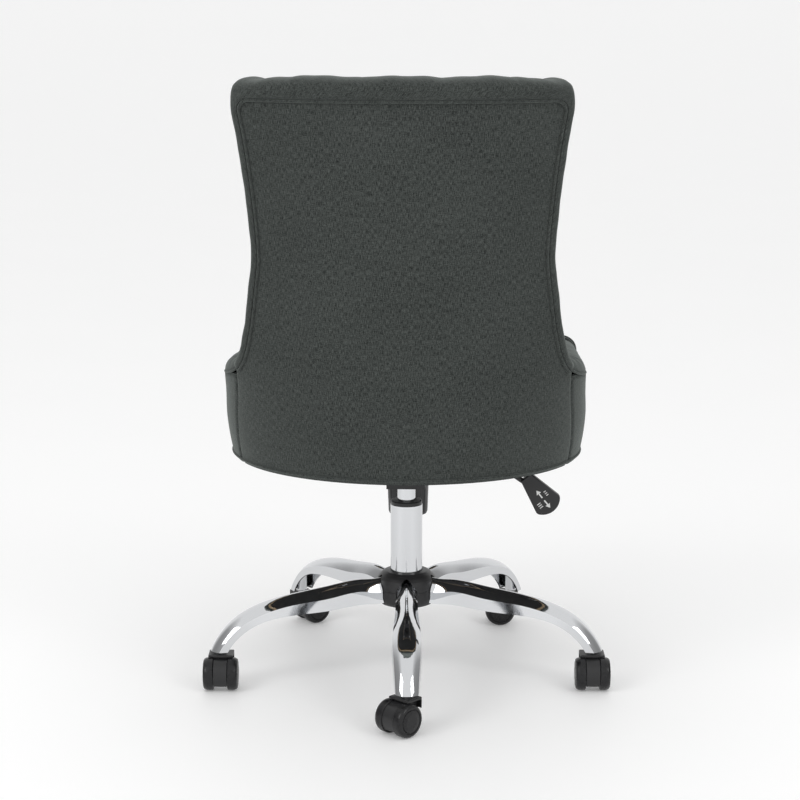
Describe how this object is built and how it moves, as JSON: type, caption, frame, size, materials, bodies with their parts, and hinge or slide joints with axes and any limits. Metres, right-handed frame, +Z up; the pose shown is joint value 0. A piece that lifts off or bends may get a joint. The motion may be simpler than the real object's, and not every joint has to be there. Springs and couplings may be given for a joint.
{
  "type": "swivel office chair",
  "caption": "Upholstered low-arm swivel office chair with a tufted tub back, gas lift, tilt mechanism and chromed star base on twin-wheel casters.",
  "frame": {"origin": "on the floor, on the axis of the swivel column", "axes": "+Z up, the sitter faces -Y, +Y is the rear, the lever is on -X at the sitter's right hand"},
  "size_m": [0.6276, 0.6361, 0.945],
  "materials": {
    "chrome": "polished",
    "zinc": "satin",
    "black_plastic": "satin",
    "wheel_nylon": "gloss",
    "black_paint": "satin",
    "spring_steel": "oiled",
    "bearing_steel": "ground",
    "charcoal_linen": "woven",
    "button_linen": "woven",
    "board": "raw plywood",
    "timber": "raw",
    "black_cloth": "non-woven"
  },
  "bodies": {
    "base": {"hub_socket": "zinc", "hub_cover_top": "black_plastic", "hub_cover_bottom": "black_plastic", "caster_sockets": "chrome", "column_tube": "chrome", "guide_bush": "black_plastic", "base_arm_1": "chrome", "base_arm_2": "chrome", "base_arm_3": "chrome", "base_arm_4": "chrome", "base_arm_5": "chrome", "caster_stems": "zinc"},
    "caster_1": {"caster_body_1": "black_plastic", "caster_axle_1": "zinc"},
    "wheel_left_1": {"caster_wheel_left_1": "wheel_nylon"},
    "wheel_right_1": {"caster_wheel_right_1": "wheel_nylon"},
    "caster_2": {"caster_body_2": "black_plastic", "caster_axle_2": "zinc"},
    "wheel_left_2": {"caster_wheel_left_2": "wheel_nylon"},
    "wheel_right_2": {"caster_wheel_right_2": "wheel_nylon"},
    "caster_3": {"caster_body_3": "black_plastic", "caster_axle_3": "zinc"},
    "wheel_left_3": {"caster_wheel_left_3": "wheel_nylon"},
    "wheel_right_3": {"caster_wheel_right_3": "wheel_nylon"},
    "caster_4": {"caster_body_4": "black_plastic", "caster_axle_4": "zinc"},
    "wheel_left_4": {"caster_wheel_left_4": "wheel_nylon"},
    "wheel_right_4": {"caster_wheel_right_4": "wheel_nylon"},
    "caster_5": {"caster_body_5": "black_plastic", "caster_axle_5": "zinc"},
    "wheel_left_5": {"caster_wheel_left_5": "wheel_nylon"},
    "wheel_right_5": {"caster_wheel_right_5": "wheel_nylon"},
    "column_turn": {"piston_rod": "zinc", "thrust_bearing": "bearing_steel", "retaining_clip": "zinc"},
    "lift": {"gas_cylinder": "chrome", "tilt_housing": "black_paint", "tilt_pin": "zinc", "tension_spring": "spring_steel"},
    "release": {"release_pin": "zinc"},
    "lever_bush": {"lever_pivot": "black_plastic"},
    "lever": {"lever_rod": "black_paint", "lever_paddle": "black_plastic"},
    "seat": {"seat_plate": "black_paint", "tension_bolt": "zinc", "plate_bolts": "zinc", "seat_board": "board", "front_rail": "timber", "seat_frame": "timber", "outer_shell": "charcoal_linen", "back_frame": "timber", "back_pad": "charcoal_linen", "back_edge_roll": "charcoal_linen", "arm_pad_left": "charcoal_linen", "arm_pad_right": "charcoal_linen", "seat_cushion": "charcoal_linen", "tuft_buttons": "button_linen", "dust_cover": "black_cloth"},
    "washer": {"spring_washer": "zinc"},
    "knob": {"tension_knob": "black_plastic"}
  },
  "joints": [
    {"name": "column_swivel", "type": "hinge", "parent": "base", "child": "column_turn", "pos_m": [0, 0, 0.113], "axis": [0, 0, 1], "continuous": true},
    {"name": "gas_lift", "type": "slide", "parent": "column_turn", "child": "lift", "axis": [0, 0, 1], "range_m": [0, 0.09]},
    {"name": "seat_tilt", "type": "hinge", "parent": "lift", "child": "seat", "pos_m": [0, -0.05, 0.334], "axis": [-1, 0, 0], "range_deg": [0, 12], "stiffness_Nm_per_rad": 150, "springref_deg": -20.05, "deforming": ["tension_spring"]},
    {"name": "lever_lift", "type": "hinge", "parent": "lift", "child": "lever_bush", "pos_m": [-0.0285, 0, 0.3344], "axis": [0, 1, 0], "range_deg": [0, 4], "stiffness_Nm_per_rad": 4, "springref_deg": -8.02},
    {"name": "tilt_lock_pull", "type": "slide", "parent": "lever_bush", "child": "lever", "axis": [-1, 0, 0], "range_m": [0, 0.008]},
    {"name": "release_press", "type": "slide", "parent": "lift", "child": "release", "axis": [0, 0, -1], "range_m": [0, 0.003]},
    {"name": "tension_travel", "type": "slide", "parent": "seat", "child": "washer", "axis": [0, 0, 1], "range_m": [-0.003, 0.003]},
    {"name": "knob_turn", "type": "hinge", "parent": "washer", "child": "knob", "pos_m": [0, -0.092, 0.25], "axis": [0, 0, 1], "range_deg": [-720, 720]},
    {"name": "caster_swivel_1", "type": "hinge", "parent": "base", "child": "caster_1", "pos_m": [-0.00945, 0.30085, 0.05], "axis": [0, 0, 1], "continuous": true},
    {"name": "wheel_spin_left_1", "type": "hinge", "parent": "caster_1", "child": "wheel_left_1", "pos_m": [0.00264, 0.31419, 0.025], "axis": [0.7408, -0.6717, 0], "continuous": true},
    {"name": "wheel_spin_right_1", "type": "hinge", "parent": "caster_1", "child": "wheel_right_1", "pos_m": [0.00264, 0.31419, 0.025], "axis": [0.7408, -0.6717, 0], "continuous": true},
    {"name": "caster_swivel_2", "type": "hinge", "parent": "base", "child": "caster_2", "pos_m": [-0.28905, 0.08398, 0.05], "axis": [0, 0, 1], "continuous": true},
    {"name": "wheel_spin_left_2", "type": "hinge", "parent": "caster_2", "child": "wheel_left_2", "pos_m": [-0.28961, 0.10197, 0.025], "axis": [0.9995, 0.0314, 0], "continuous": true},
    {"name": "wheel_spin_right_2", "type": "hinge", "parent": "caster_2", "child": "wheel_right_2", "pos_m": [-0.28961, 0.10197, 0.025], "axis": [0.9995, 0.0314, 0], "continuous": true},
    {"name": "caster_swivel_3", "type": "hinge", "parent": "base", "child": "caster_3", "pos_m": [-0.16919, -0.24895, 0.05], "axis": [0, 0, 1], "continuous": true},
    {"name": "wheel_spin_left_3", "type": "hinge", "parent": "caster_3", "child": "wheel_left_3", "pos_m": [-0.1512, -0.24839, 0.025], "axis": [0.0314, -0.9995, 0], "continuous": true},
    {"name": "wheel_spin_right_3", "type": "hinge", "parent": "caster_3", "child": "wheel_right_3", "pos_m": [-0.1512, -0.24839, 0.025], "axis": [0.0314, -0.9995, 0], "continuous": true},
    {"name": "caster_swivel_4", "type": "hinge", "parent": "base", "child": "caster_4", "pos_m": [0.18449, -0.23784, 0.05], "axis": [0, 0, 1], "continuous": true},
    {"name": "wheel_spin_left_4", "type": "hinge", "parent": "caster_4", "child": "wheel_left_4", "pos_m": [0.16989, -0.24837, 0.025], "axis": [-0.585, 0.8111, 0], "continuous": true},
    {"name": "wheel_spin_right_4", "type": "hinge", "parent": "caster_4", "child": "wheel_right_4", "pos_m": [0.16989, -0.24837, 0.025], "axis": [-0.585, 0.8111, 0], "continuous": true},
    {"name": "caster_swivel_5", "type": "hinge", "parent": "base", "child": "caster_5", "pos_m": [0.2832, 0.10196, 0.05], "axis": [0, 0, 1], "continuous": true},
    {"name": "wheel_spin_left_5", "type": "hinge", "parent": "caster_5", "child": "wheel_left_5", "pos_m": [0.28264, 0.11995, 0.025], "axis": [0.9995, 0.0314, 0], "continuous": true},
    {"name": "wheel_spin_right_5", "type": "hinge", "parent": "caster_5", "child": "wheel_right_5", "pos_m": [0.28264, 0.11995, 0.025], "axis": [0.9995, 0.0314, 0], "continuous": true}
  ],
  "couplings": [
    {"joint": "release_press", "follows": "lever_lift", "m_per_rad": 0.0285},
    {"joint": "knob_turn", "follows": "tension_travel", "rad_per_m": 4188.8}
  ]
}
